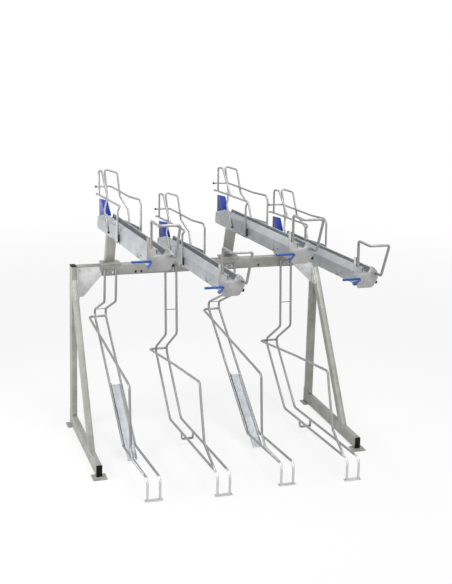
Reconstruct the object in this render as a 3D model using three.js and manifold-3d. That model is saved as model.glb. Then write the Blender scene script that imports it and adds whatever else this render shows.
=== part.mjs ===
// Two tier bike rack: a galvanised frame with four round-bar stands below and four
// sliding, tilting wheel channels above. Millimetres, +Z up, the front is -Y, the left is -X.
import * as THREE from "three";
import { mergeVertices } from "three/addons/utils/BufferGeometryUtils.js";
import Module from "manifold-3d";

const wasm = await Module();
wasm.setup();

// Shared clearances and cutting lengths
const seatGap = 0.3;
const mergeDistance = 0.001;
const overrun = 20;
const weld = 1.5;
const barSides = 6;
const bendSteps = 2;
const sharpTurn = 1;
const holeSides = 12;
const curveSteps = 4;

// Bays
const bayPitch = 450;
const baysMiddle = 10;
const bayCount = 4;

// Frame of rectangular tube, as wide as the bays and a margin at each side
const sideMargin = 48.5;
const frameWidth = bayCount * bayPitch + 2 * sideMargin;
const tubeWidth = 40;
const tubeHeight = 80;
const tubeWall = 3;
const footPlateThick = 8;
const baseLength = 976;
const frontFootLength = 90;
const frontFootWidth = 95;
const frontFootReach = 45;
const rearFootLength = 90;
const rearFootWidth = 100;
const heelPlateThick = 6;
const heelPlateRise = 35;
const postDepth = 80;
const postTop = 1208;
const strutDepth = 55;
const strutFoot = 265;
const strutHeadDrop = 144;
const beamDepth = 60;
const beamHeight = 80;
const capRim = 5;
const capPlug = 18;

// Bolts
const boltHead = 22;
const boltHeadHeight = 9;
const boltSides = 6;
const boltInset = 18;

// Gussets between beam and struts. Each clears the top plate of the stand beside it
const gussetThick = 5;
const gussetClear = { left: 10.2, right: 13.2 };
const gussetFootReach = { left: 48, right: 10 };
const gussetDrop = { left: 225, right: 216 };
const gussetFlange = 130;
const flangeInset = 6;
const gussetTopDrop = 10;

// Lower stands. Places along a stand are shares of the beam's distance and of its underside's
// height, [Y, Z]. A guard starts and ends at a share of a run of the rails, counted from the foot.
const railBar = 16;
const railSpacing = 83;
const railBend = 38;
const wireBar = 8;
const standFootThick = 6;
const standFootWidth = 118;
const standFootDepth = 34;
const kneeHeight = 150;
const topPlateWidth = 100;
const topPlateHeight = 42;
const topPlateThick = 5;
const topBoltSpacing = 44;
const guardOffset = 47;
const guardBend = 32;
const strapY = 412;
const strapWidth = 34;
const strapThick = 5;
const strapLift = 15;
const lowStandShares = {
  footShare: -0.5, elbowShares: [0.769, 0.0603],
  kinkRearShares: [1.275, 0.4184], kinkFrontShares: [0.943, 0.595],
  guardStartShares: [1, 0.052],
  guardShares: [[-0.33, 0.266], [-0.2264, 0.4965], [-0.187, 0.594], [0.4725, 0.5177]],
  guardEndShares: [2, 0.985], wireShares: [[4, 0.42]],
};
const highStandShares = {
  footShare: -0.456, elbowShares: [0.291, 0.078],
  kinkRearShares: [1.4286, 0.6738], kinkFrontShares: [0.9945, 0.828],
  guardStartShares: [1, 0.093], guardShares: [[-0.2363, 0.1729], [-0.1648, 0.2305], [-0.1099, 0.5851]],
  guardEndShares: [2, 0.949], wireShares: [[3, 0.12]],
};

// Front wheel gutters of the high stands, fitted between the rails and placed as shares of the
// rails' rise
const gutterWidth = railSpacing - railBar - 2 * seatGap;
const gutterWall = 24;
const gutterSheet = 2.5;
const gutterStartShare = -0.092;
const gutterEndShare = 0.432;
const gutterHole = 14;

// Wheel channels: their heights are at the front face of the beam
const lowChannelAboveBeam = 185;
const highChannelStep = 182;
const channelSlope = 2.93;
const channelOffset = 16;
const channelFront = 1372;
const channelRear = 200;
const sheet = 3;
const grooveHalf = 26;
const grooveDepth = 45;
const flankHalf = 67;
const flankDrop = 38;
const channelHeight = 119;
const lipWidth = 15;
const ridgeRear = 75;
const creaseRear = 112;

// Rear side plates on each channel; the outline is in shares of the plate's length behind its
// front edge and of the channel's height
const sidePlateThick = 5;
const sidePlateFront = 536;
const sidePlateShares = [[0, -1], [0.96, -1], [0.993, -0.93], [0.983, -0.52], [0.88, -0.33], [0, -0.06]];

// Support rail, cradle and roller inside each channel
const pivotReach = 671;
const pivotDrop = 95;
const pivotPin = 12;
const pinClearance = 0.5;
const railHalf = 19;
const supportDepth = 30;
const supportRear = 157;
const supportStub = 22;
const cradleGap = 5;
const cradlePlate = 4;
const cradleFront = 946;
const cradleRear = 149;
const cradleTopGap = 8;
const rollerDiameter = 28;
const rollerAxle = 8;
const rollerInset = 20;
const rollerSideGap = 1;
const deckSetback = 4;
const shoeLength = 60;
const shoeGap = 3;
const shoeLift = 0.6;

// Support posts between beam and support rails
const postBaseWidth = 150;
const postBaseThick = 8;
const supportPostWidth = 70;
const supportPostDepth = 52;
const supportPostSetback = 45;
const highPostLean = 80;
const lowPostLean = 32;
const clampDrop = 58;
const clampEdge = 9;

// Pull handle and its end plate. The outline goes clockwise from the ear's outer top corner, in
// shares of the plate's half width and of the channel's height
const endPlateThick = 5;
const endPlateHalf = 91;
const endPlateShares = {
  earShares: [[-1, 0.55], [-0.64, 0.55]],
  notchShares: [[-0.64, -0.16], [-0.62, -0.33], [-0.45, -0.33], [0.08, -0.33], [0.2, -0.31], [0.31, 0]],
  shoulderShares: [[0.45, -0.03], [0.7, -0.12], [0.87, -0.38]],
  toeShares: [[0.87, -0.6], [0.32, -1.16], [-0.68, -1.16], [-1, -0.5]],
};
const handleBar = 14;
const handleHalf = 66;
const handleRise = 170;
const handleDip = 5;
const handleReach = 180;
const handleFootReach = 76;
const handleFootDrop = 48;
const handleBend = 26;

// Release lever
const leverBar = 14;
const leverSetback = 14;
const leverDrop = 106;
const leverArm = 120;
const leverRise = 47;
const leverKneeShare = 0.32;
const leverHalf = 88;
const leverTail = 72;
const leverGrip = 114;
const leverBend = 16;
const leverCap = 20;
const leverCapLength = 10;

// Front wheel holder. Places are shares of the channel's front length and of its height, [Y, Z]
const holderBar = 12;
const holderBend = 26;
const holderSpread = 5;
const leftRailOffset = 65;
const rightRailOffset = 43;
const neckHalf = 46;
const holderShares = {
  leftLegShares: [[-0.383, -0.87], [-0.383, 0.9]], leftRailShares: [[-0.394, 1.15], [0.17, 1.03]],
  rightLegShares: [[-0.386, -0.84], [-0.386, 1.28], [-0.355, 1.44]],
  rightRailShares: [[-0.245, 1.45], [0.186, 1.44]],
  sideHoopShares: [[0.109, 1.05], [0.109, 2.54], [0.031, 2.575], [-0.089, 1.32], [-0.111, 1.09]],
  wheelHoopShares: [[-0.163, -0.742], [-0.091, 0.45], [-0.0335, 1.125], [0.033, 2.6]],
};

// Wheel stop. Its outlines are in shares of its half width and of its height above the ridges
const stopThick = 5;
const stopSetback = 20;
const stopHalf = 30;
const stopHeight = 90;
const stopClear = 2;
const tongueReach = 1;
const stopWingTurn = 35;
const stopRightShare = 1.03;
const stopFoldShare = -0.4;
const stopTopShares = [[0.13, 0.87], [-1.47, 1]];
const stopWingShares = [[-1.42, 1], [-0.35, -0.4], [-1.99, -0.67], [-1.97, 1.04]];

const steel = (hex, roughness, metalness) =>
  new THREE.MeshStandardMaterial({ color: hex, roughness, metalness });
const paints = {
  galvanised: steel(0xa9aaa4, 0.6, 0.7),
  zincSheet: steel(0xa6abb0, 0.5, 0.7),
  brightBar: steel(0xc4c6c6, 0.4, 0.8),
  bluePaint: steel(0x2f5fc0, 0.45, 0),
  blueStop: steel(0x3e58c0, 0.5, 0),
  blackPlastic: steel(0x141414, 0.6, 0),
};

const rack = new THREE.Group();

// Solids from geometry and back
function solidOf(geometry) {
  const bare = new THREE.BufferGeometry();
  bare.setAttribute("position", geometry.getAttribute("position"));
  if (geometry.index) bare.setIndex(geometry.index);
  const merged = mergeVertices(bare, mergeDistance);
  return new wasm.Manifold(new wasm.Mesh({
    numProp: 3,
    vertProperties: merged.attributes.position.array,
    triVerts: new Uint32Array(merged.index.array),
  }));
}

function geometryOf(solid) {
  const mesh = solid.getMesh();
  const geometry = new THREE.BufferGeometry();
  geometry.setAttribute("position", new THREE.BufferAttribute(new Float32Array(mesh.vertProperties), 3));
  geometry.setIndex(new THREE.BufferAttribute(new Uint32Array(mesh.triVerts), 1));
  const flat = geometry.toNonIndexed();
  flat.computeVertexNormals();
  return flat;
}

const join = (pieces) => geometryOf(pieces.map(solidOf).reduce((all, piece) => all.add(piece)));
const cut = (body, tools) =>
  geometryOf(tools.map(solidOf).reduce((left, tool) => left.subtract(tool), solidOf(body)));

function add(name, geometry, paint, parent = rack) {
  const mesh = new THREE.Mesh(geometry, paint);
  mesh.name = name;
  parent.add(mesh);
  return mesh;
}

// A place or an outline given in shares, turned into lengths
const sized = (shares, width, height) => [shares[0] * width, shares[1] * height];
const sizedAll = (list, width, height) => list.map((shares) => sized(shares, width, height));

// A box given by its lowest and highest corners
function block(low, high) {
  const size = high.map((value, axis) => value - low[axis]);
  const centre = high.map((value, axis) => (value + low[axis]) / 2);
  return new THREE.BoxGeometry(...size).translate(...centre);
}

// A cylinder along X between two places
function crossPin(fromX, toX, y, z, diameter, sides = holeSides) {
  const pin = new THREE.CylinderGeometry(diameter / 2, diameter / 2, toX - fromX, sides);
  return pin.rotateZ(Math.PI / 2).translate((fromX + toX) / 2, y, z);
}

// A hexagon bolt head whose base is at a point and which stands along an axis
function hexHead(x, y, z, axis, sign = 1) {
  const head = new THREE.CylinderGeometry(boltHead / 2, boltHead / 2, boltHeadHeight, boltSides);
  if (axis === "x") head.rotateZ(Math.PI / 2);
  if (axis === "z") head.rotateX(Math.PI / 2);
  const shift = (sign * boltHeadHeight) / 2;
  return head.translate(x + (axis === "x" ? shift : 0), y + (axis === "y" ? shift : 0),
    z + (axis === "z" ? shift : 0));
}

// A flat outline as a shape
const shapeOf = (outline) => (outline instanceof THREE.Shape ? outline
  : new THREE.Shape(outline.map((point) => new THREE.Vector2(...point))));

// A flat outline in X and Z, given thickness along Y from a front face
function plateXZ(outline, frontY, thick) {
  const plate = new THREE.ExtrudeGeometry(shapeOf(outline),
    { depth: thick, bevelEnabled: false, curveSegments: curveSteps });
  return plate.rotateX(Math.PI / 2).translate(0, frontY + thick, 0);
}

// A flat outline in Y and Z, given thickness along X from a left face
function plateYZ(outline, leftX, thick) {
  const plate = new THREE.ExtrudeGeometry(shapeOf(outline),
    { depth: thick, bevelEnabled: false, curveSegments: curveSteps });
  return plate.rotateX(Math.PI / 2).rotateZ(Math.PI / 2).translate(leftX, 0, 0);
}

// A path of straight runs with round bends at the corners, stepped only where it bends
class BentPath extends THREE.Curve {
  constructor(corners, radius) {
    super();
    const points = corners.map((corner) => new THREE.Vector3(...corner));
    this.stations = [this.station(points[0], points[1].clone().sub(points[0]))];
    for (let i = 1; i < points.length - 1; i++) {
      const before = points[i].clone().sub(points[i - 1]);
      const after = points[i + 1].clone().sub(points[i]);
      const turn = before.angleTo(after);
      const room = Math.min(before.length(), after.length()) / 2;
      const cutBack = Math.min(radius * Math.tan(turn / 2), room);
      const start = points[i].clone().addScaledVector(before.normalize(), -cutBack);
      const end = points[i].clone().addScaledVector(after.normalize(), cutBack);
      const bend = new THREE.QuadraticBezierCurve3(start, points[i], end);
      const steps = turn > sharpTurn ? bendSteps + 1 : bendSteps;
      for (let k = 0; k <= steps; k++) {
        this.stations.push(this.station(bend.getPoint(k / steps), bend.getTangent(k / steps)));
      }
    }
    const last = points[points.length - 1];
    this.stations.push(this.station(last, last.clone().sub(points[points.length - 2])));
  }
  station(point, along) {
    return { point: point.clone(), tangent: along.clone().normalize() };
  }
  at(u) {
    return this.stations[Math.round(u * (this.stations.length - 1))];
  }
  getPointAt(u) {
    return this.at(u).point.clone();
  }
  getPoint(u) {
    return this.getPointAt(u);
  }
  getTangentAt(u) {
    return this.at(u).tangent.clone();
  }
}

// A round bar bent along its corners
function bar(corners, diameter, radius) {
  const path = new BentPath(corners, radius);
  const disc = new THREE.Shape();
  for (let side = 0; side < barSides; side++) {
    const angle = (2 * Math.PI * (side + 1 / 2)) / barSides;
    const x = (Math.cos(angle) * diameter) / 2;
    const y = (Math.sin(angle) * diameter) / 2;
    if (side === 0) disc.moveTo(x, y);
    else disc.lineTo(x, y);
  }
  return new THREE.ExtrudeGeometry(disc, {
    steps: path.stations.length - 1, extrudePath: path, bevelEnabled: false,
  });
}

// Frame
const halfFrame = frameWidth / 2;
const baseTop = footPlateThick + tubeHeight;
const postRear = baseLength - heelPlateThick;
const postFront = postRear - postDepth;
const beamRear = postRear;
const beamFront = beamRear - beamDepth;
const beamBottom = postTop - beamHeight;
const bayX = (bay) => baysMiddle + (bay - (bayCount - 1) / 2) * bayPitch;

function hollowBox(low, high, wall, openAxis) {
  const inner = [0, 1, 2].map((axis) => (axis === openAxis ? -overrun : wall));
  return cut(block(low, high), [
    block(low.map((value, axis) => value + inner[axis]), high.map((value, axis) => value - inner[axis])),
  ]);
}

function buildSide(side, sign) {
  const inner = sign * (halfFrame - tubeWidth);
  const outer = sign * halfFrame;
  const low = Math.min(inner, outer);
  const high = Math.max(inner, outer);
  const middle = (low + high) / 2;
  const baseTube = hollowBox([low, 0, footPlateThick], [high, baseLength - heelPlateThick, baseTop],
    tubeWall, 1);
  const frontFoot = block([middle - frontFootWidth / 2, -frontFootReach, 0],
    [middle + frontFootWidth / 2, frontFootLength - frontFootReach, footPlateThick]);
  const rearFoot = block([middle - rearFootWidth / 2, baseLength - rearFootLength, 0],
    [middle + rearFootWidth / 2, baseLength, footPlateThick]);
  const heel = block([low, baseLength - heelPlateThick, footPlateThick],
    [high, baseLength, baseTop + heelPlateRise]);
  add(side + "_base", join([baseTube, frontFoot, rearFoot, heel]), paints.galvanised);

  const post = hollowBox([low, postFront, baseTop + seatGap], [high, postRear - seatGap, postTop],
    tubeWall, 2);
  add(side + "_post", post, paints.galvanised);

  // The strut leans from the base tube to the post and is cut flush to both
  const lean = Math.atan2(postFront - strutFoot, postTop - strutHeadDrop - baseTop);
  const along = strutDepth / 2 / Math.cos(lean);
  const rise = (run) => run / Math.tan(lean);
  const strutOutline = [
    [strutFoot - along, baseTop + seatGap], [strutFoot + along, baseTop + seatGap],
    [postFront - seatGap, baseTop + rise(postFront - strutFoot - along)],
    [postFront - seatGap, baseTop + rise(postFront - strutFoot + along)],
  ];
  add(side + "_strut", plateYZ(strutOutline, low, tubeWidth), paints.galvanised);

  // Push-in plastic caps
  const plug = tubeWall + seatGap;
  add(side + "_base_cap", join([
    block([low, -capRim - seatGap, footPlateThick + seatGap], [high, -seatGap, baseTop]),
    block([low + plug, -capRim, footPlateThick + plug], [high - plug, capPlug, baseTop - plug]),
  ]), paints.blackPlastic);
  add(side + "_post_cap", join([
    block([low, postFront, postTop + seatGap], [high, postRear, postTop + seatGap + capRim]),
    block([low + plug, postFront + plug, postTop - capPlug],
      [high - plug, postRear - seatGap - plug, postTop + capRim]),
  ]), paints.blackPlastic);

  // Gusset on the front of the beam, with a flange that turns forward along the strut
  const edge = sign * (halfFrame - tubeWidth - seatGap);
  const inward = -sign;
  const gussetFrontY = beamFront - seatGap - gussetThick;
  const gussetTop = postTop - gussetTopDrop;
  const gussetBottom = postTop - gussetDrop[side];
  const nearBay = sign < 0 ? 0 : bayCount - 1;
  const reach = Math.abs(edge - bayX(nearBay) - (sign * topPlateWidth) / 2) - gussetClear[side];
  const gussetOutline = [
    [edge, gussetTop], [edge + inward * (reach - boltInset), gussetTop],
    [edge + inward * reach, beamBottom + boltInset / 2],
    [edge + inward * gussetFootReach[side], gussetBottom], [edge, gussetBottom],
  ];
  const strutFrontAt = (z) => strutFoot - along + (z - baseTop) * Math.tan(lean) + flangeInset;
  const flangeLow = Math.min(edge, edge + inward * gussetThick);
  const flangeTop = gussetBottom + gussetFlange;
  const flangeRear = gussetFrontY + gussetThick;
  const flange = plateYZ([
    [strutFrontAt(gussetBottom), gussetBottom], [flangeRear, gussetBottom], [flangeRear, flangeTop],
    [Math.min(strutFrontAt(flangeTop), gussetFrontY), flangeTop],
  ], flangeLow, gussetThick);
  if (sign > 0) gussetOutline.reverse();
  const plate = plateXZ(gussetOutline, gussetFrontY, gussetThick);
  const flangeBolt = hexHead(edge + inward * gussetThick, strutFrontAt(gussetBottom) + 2 * boltInset,
    gussetBottom + boltInset, "x", inward);
  add(side + "_gusset", join([plate, flange, flangeBolt]), paints.galvanised);
}
buildSide("left", -1);
buildSide("right", 1);

const beamHalf = halfFrame - tubeWidth - seatGap;
add("crossbeam", hollowBox([-beamHalf, beamFront, beamBottom], [beamHalf, beamRear - seatGap, postTop],
  tubeWall, 0), paints.galvanised);

// Lower stands
const topPlateFront = beamFront - seatGap - topPlateThick;
const railTopY = topPlateFront - railBar / 2 + weld;

function buildStand(bay) {
  const high = bay % 2 === 0;
  const kind = high ? highStandShares : lowStandShares;
  const place = (shares) => sized(shares, beamFront, beamBottom);
  const centre = bayX(bay);
  const leftRail = centre - railSpacing / 2;
  const rightRail = centre + railSpacing / 2;
  const guardX = leftRail - guardOffset;
  const footY = kind.footShare * beamFront;
  const places = [
    [footY, standFootThick / 2], [footY, kneeHeight], place(kind.elbowShares), place(kind.kinkRearShares),
    place(kind.kinkFrontShares), [railTopY, beamBottom - railBar],
    [railTopY, beamBottom + topPlateHeight + railBar / 2],
  ];
  const onRun = ([run, share]) =>
    places[run].map((value, axis) => value + (places[run + 1][axis] - value) * share);
  const railAt = (x) => bar(places.map((spot) => [x, ...spot]), railBar, railBend);
  const pieces = [railAt(leftRail), railAt(rightRail)];

  // Foot plate and top plate
  pieces.push(block([centre - standFootWidth / 2, footY - standFootDepth / 2, 0],
    [centre + standFootWidth / 2, footY + standFootDepth / 2, standFootThick]));
  pieces.push(block([centre - topPlateWidth / 2, topPlateFront, beamBottom],
    [centre + topPlateWidth / 2, topPlateFront + topPlateThick, beamBottom + topPlateHeight]));
  for (const sign of [-1, 1]) {
    pieces.push(hexHead(centre + (sign * topBoltSpacing) / 2, topPlateFront, beamBottom + topPlateHeight / 2,
      "y", -1));
  }

  // Guard bar beside the left rail, welded to that rail in front and to the right rail behind
  const guardEnd = onRun(kind.guardEndShares);
  pieces.push(bar([
    [leftRail, ...onRun(kind.guardStartShares)],
    ...kind.guardShares.map((shares) => [guardX, ...place(shares)]),
    [guardX, ...guardEnd], [rightRail, ...guardEnd],
  ], railBar, guardBend));

  // Cross wires between the rails
  for (const wire of kind.wireShares) {
    pieces.push(crossPin(leftRail, rightRail, ...onRun(wire), wireBar, barSides));
  }

  // A low stand also has a strap that hangs under the long run of its rails
  if (!high) {
    const [, railZ] = onRun([1, (strapY - footY) / (places[2][0] - footY)]);
    const half = strapThick / 2;
    const slice = (fromX, toX, topZ) => block([fromX - half, strapY - strapWidth / 2, strapLift],
      [toX + half, strapY + strapWidth / 2, topZ]);
    pieces.push(slice(leftRail, leftRail, railZ), slice(rightRail, rightRail, railZ));
    pieces.push(slice(leftRail, rightRail, strapLift + strapThick));
  }
  add("stand_" + (bay + 1), join(pieces), paints.brightBar);
}

// Gutter of sheet between the rails, in line with their rise
function buildGutter(bay) {
  const [lowY, lowZ] = sized(highStandShares.elbowShares, beamFront, beamBottom);
  const [rearY, rearZ] = sized(highStandShares.kinkRearShares, beamFront, beamBottom);
  const rise = Math.atan2(rearZ - lowZ, rearY - lowY);
  const run = Math.hypot(rearZ - lowZ, rearY - lowY);
  const from = gutterStartShare * run;
  const to = gutterEndShare * run;
  const half = gutterWidth / 2;
  const outline = [
    [-half, gutterWall], [-half, 0], [half, 0], [half, gutterWall], [half - gutterSheet, gutterWall],
    [half - gutterSheet, gutterSheet], [gutterSheet - half, gutterSheet], [gutterSheet - half, gutterWall],
  ];
  const trough = plateXZ(outline, from, to - from);
  const hole = new THREE.CylinderGeometry(gutterHole / 2, gutterHole / 2, overrun, holeSides)
    .rotateX(Math.PI / 2).translate(0, (from + to) / 2, gutterSheet / 2);
  const gutter = add("stand_" + (bay + 1) + "_gutter", cut(trough, [hole]), paints.zincSheet);
  gutter.position.set(bayX(bay), lowY, lowZ - railBar / 2);
  gutter.rotation.x = rise;
}

for (let bay = 0; bay < bayCount; bay++) {
  buildStand(bay);
  if (bay % 2 === 0) buildGutter(bay);
}

// Wheel channels. Each is built in its own tilted frame, whose origin is the top of the channel
// above the front face of the beam: -Y runs up the channel to its front end.
const slopeAngle = THREE.MathUtils.degToRad(channelSlope);
const flankSlope = flankDrop / (flankHalf - grooveHalf);
const sheetDrop = sheet / Math.cos(Math.atan(flankSlope));

function channelProfile() {
  const innerFlank = flankHalf - sheet;
  const innerCrease = -(innerFlank - grooveHalf) * flankSlope - sheetDrop;
  const right = [
    [grooveHalf - sheet, -grooveDepth], [grooveHalf - sheet, 0], [grooveHalf, 0], [flankHalf, -flankDrop],
    [flankHalf, -channelHeight], [flankHalf - lipWidth, -channelHeight],
    [flankHalf - lipWidth, sheet - channelHeight], [innerFlank, sheet - channelHeight],
    [innerFlank, innerCrease], [grooveHalf, -sheetDrop], [grooveHalf, -grooveDepth - sheet],
  ];
  const left = right.map(([x, z]) => [-x, z]).reverse();
  return [...right, ...left];
}

function sidePlate(sign) {
  const outline = sizedAll(sidePlateShares, sidePlateFront + channelRear, channelHeight)
    .map(([y, z]) => [y - sidePlateFront, z]);
  const left = sign < 0 ? -flankHalf - sidePlateThick : flankHalf;
  return plateYZ(outline, left, sidePlateThick);
}

function buildChannel(bay, parent) {
  const profile = plateXZ(channelProfile(), -channelFront, channelFront + channelRear);
  const axleHole = crossPin(-flankHalf - overrun, flankHalf + overrun, -channelFront + leverSetback,
    -leverDrop, leverBar + 2 * pinClearance);
  // Behind the ridges' end only the flanks and a tongue of the groove go on, which carries the stop
  const behind = channelRear + overrun;
  const side = flankHalf + sidePlateThick + overrun;
  const rearCut = plateYZ([
    [ridgeRear, overrun], [ridgeRear, 0], [creaseRear, -flankDrop], [behind, -flankDrop], [behind, overrun],
  ], -side, 2 * side);
  const tongueRear = channelRear - stopSetback + stopThick + tongueReach;
  const tongueCut = block([-grooveHalf - overrun, tongueRear, -grooveDepth - overrun],
    [grooveHalf + overrun, behind, overrun - flankDrop]);
  add("channel_" + bay, cut(join([profile, sidePlate(-1), sidePlate(1)]), [axleHole, rearCut, tongueCut]),
    paints.zincSheet, parent);
}

// End plate with an ear and a notch for the tyre, and the pull handle welded to it
function buildHandle(bay, parent) {
  const { earShares, notchShares, shoulderShares, toeShares } = endPlateShares;
  const place = (shares) => sized(shares, endPlateHalf, channelHeight);
  const shape = new THREE.Shape();
  shape.moveTo(...place(earShares[0]));
  shape.lineTo(...place(earShares[1]));
  shape.lineTo(...place(notchShares[0]));
  shape.quadraticCurveTo(...place(notchShares[1]), ...place(notchShares[2]));
  shape.lineTo(...place(notchShares[3]));
  shape.quadraticCurveTo(...place(notchShares[4]), ...place(notchShares[5]));
  shape.lineTo(...place(shoulderShares[0]));
  shape.quadraticCurveTo(...place(shoulderShares[1]), ...place(shoulderShares[2]));
  for (const corner of toeShares) shape.lineTo(...place(corner));
  shape.closePath();
  const face = -channelFront - seatGap - endPlateThick;
  const barY = face - handleBar / 2 + weld;
  const front = -channelFront - handleReach;
  const frontZ = handleRise - handleDip;
  const hoop = bar([
    [-handleHalf, barY, handleBar], [-handleHalf, barY, handleRise], [-handleHalf, front, frontZ],
    [handleHalf, front, frontZ], [handleHalf, -channelFront - handleFootReach, -handleFootDrop],
    [handleHalf, face + endPlateThick / 2, -handleFootDrop],
  ], handleBar, handleBend);
  add("pull_handle_" + bay, join([plateXZ(shape, face, endPlateThick), hoop]), paints.galvanised, parent);
}

// Front wheel holder: a left rail with a side hoop, a right rail that crosses behind, and a wheel hoop
function buildHolder(bay, parent) {
  const outside = flankHalf + sidePlateThick + seatGap + holderBar / 2;
  const place = (shares) => sized(shares, channelFront, channelHeight);
  const at = (x, list) => list.map((shares) => [x, ...place(shares)]);
  const {
    leftLegShares, leftRailShares, rightLegShares, rightRailShares, sideHoopShares, wheelHoopShares,
  } = holderShares;
  const left = bar([...at(-outside, leftLegShares), ...at(-leftRailOffset, leftRailShares)],
    holderBar, holderBend);
  const right = bar([
    ...at(outside, rightLegShares), ...at(rightRailOffset, rightRailShares),
    ...at(-leftRailOffset, rightRailShares.slice(-1)),
  ], holderBar, holderBend);
  const side = bar(at(-leftRailOffset, sideHoopShares), holderBar, holderBend);
  const leg = (sign) => [
    ...at(sign * outside, wheelHoopShares.slice(0, 1)),
    ...at(sign * (outside + holderSpread), wheelHoopShares.slice(1, 2)),
    ...at(sign * neckHalf, wheelHoopShares.slice(2)),
  ];
  const hoop = bar([...leg(-1), ...leg(1).reverse()], holderBar, holderBend / 2);
  const neck = place(wheelHoopShares[2]);
  const tie = (x, toX) => bar([[x, ...neck], [toX, ...neck]], holderBar, holderBend);
  add("front_wheel_holder_" + bay, join([left, right, side, hoop, tie(-neckHalf, -leftRailOffset)]),
    paints.brightBar, parent);
}

// Wheel stop: a leaning plate behind the rear end of the ridges, with a wing that turns back along a
// slanted fold
function buildStop(bay, parent) {
  const rearY = channelRear - stopSetback;
  const tongue = grooveHalf - sheet - stopClear;
  const foot = -grooveDepth + seatGap;
  const ledge = -flankDrop + stopClear;
  const top = sizedAll(stopTopShares, stopHalf, stopHeight);
  const foldX = stopFoldShare * stopHalf;
  const face = plateXZ([
    [foldX, foot], [tongue, foot], [tongue, ledge], [stopRightShare * stopHalf, ledge],
    ...top, [foldX, ledge],
  ], rearY, stopThick);
  const wing = plateXZ(sizedAll(stopWingShares, stopHalf, stopHeight), -stopThick / 2, stopThick);
  const [topX, topZ] = top[1];
  const fold = new THREE.Vector3(topX - foldX, 0, topZ - ledge).normalize();
  wing.translate(-foldX, 0, -ledge)
    .applyMatrix4(new THREE.Matrix4().makeRotationAxis(fold, -THREE.MathUtils.degToRad(stopWingTurn)))
    .translate(foldX, rearY + stopThick / 2, ledge);
  add("wheel_stop_" + bay, join([face, wing]), paints.blueStop, parent);
}

// Release lever: a bent bar whose axle crosses the front of the channel, with a cap on its far end
function buildLever(bay, parent) {
  const axleY = -channelFront + leverSetback;
  const gripY = axleY - leverArm;
  const kneeY = axleY - leverArm * leverKneeShare;
  const lever = bar([
    [leverTail, axleY, -leverDrop], [-leverHalf, axleY, -leverDrop], [-leverHalf, kneeY, -leverDrop],
    [-leverHalf, gripY, leverRise - leverDrop], [-leverHalf - leverGrip, gripY, leverRise - leverDrop],
  ], leverBar, leverBend);
  add("release_lever_" + bay, lever, paints.bluePaint, parent);
  add("lever_cap_" + bay, crossPin(leverTail + seatGap, leverTail + seatGap + leverCapLength, axleY,
    -leverDrop, leverCap), paints.blackPlastic, parent);
}

// Fixed rail inside the channel, with the hinge pin of the cradle at its front end
function buildSupport(bay, parent) {
  const railBottom = -pivotDrop - supportDepth / 2;
  const pinHalf = railHalf + cradleGap + cradlePlate + seatGap;
  add("support_rail_" + bay, join([
    block([-railHalf, -pivotReach - supportStub, railBottom],
      [railHalf, supportRear, railBottom + supportDepth]),
    crossPin(-pinHalf, pinHalf, -pivotReach, -pivotDrop, pivotPin),
  ]), paints.galvanised, parent);
}

// Tilting cradle that straddles the rail and carries the channel on a roller and shoes
function buildCradle(bay, parent) {
  const inner = railHalf + cradleGap;
  const outer = inner + cradlePlate;
  const grooveUnderside = -grooveDepth - sheet;
  const top = grooveUnderside - cradleTopGap;
  const bottom = -pivotDrop - supportDepth / 2;
  const rollerY = -cradleFront + rollerInset;
  const rollerZ = grooveUnderside - seatGap - rollerDiameter / 2;
  const deckStart = -cradleFront + 2 * rollerInset + deckSetback;
  const pieces = [
    block([-outer, -cradleFront, bottom], [-inner, cradleRear, top]),
    block([inner, -cradleFront, bottom], [outer, cradleRear, top]),
    block([-outer, deckStart, top - cradlePlate], [outer, cradleRear, top]),
    block([-outer, cradleRear - shoeLength, top - cradlePlate],
      [outer, cradleRear, grooveUnderside - seatGap]),
  ];
  for (const start of [-cradleFront, cradleRear - shoeLength]) {
    for (const sign of [-1, 1]) {
      const near = sign * (outer - cradlePlate / 2);
      const far = sign * (flankHalf - sheet - shoeGap);
      pieces.push(block([Math.min(near, far), start, sheet - channelHeight + shoeLift],
        [Math.max(near, far), start + shoeLength, -pivotDrop + supportDepth / 2]));
    }
  }
  const holes = [
    crossPin(-outer - overrun, outer + overrun, -pivotReach, -pivotDrop, pivotPin + 2 * pinClearance),
    crossPin(-outer - overrun, outer + overrun, rollerY, rollerZ, rollerAxle + 2 * pinClearance),
  ];
  add("cradle_" + bay, cut(join(pieces), holes), paints.galvanised, parent);
  const face = inner - rollerSideGap;
  add("roller_" + bay, join([
    crossPin(-face, face, rollerY, rollerZ, rollerDiameter),
    crossPin(-outer, outer, rollerY, rollerZ, rollerAxle),
  ]), paints.blackPlastic, parent);
}

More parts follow.
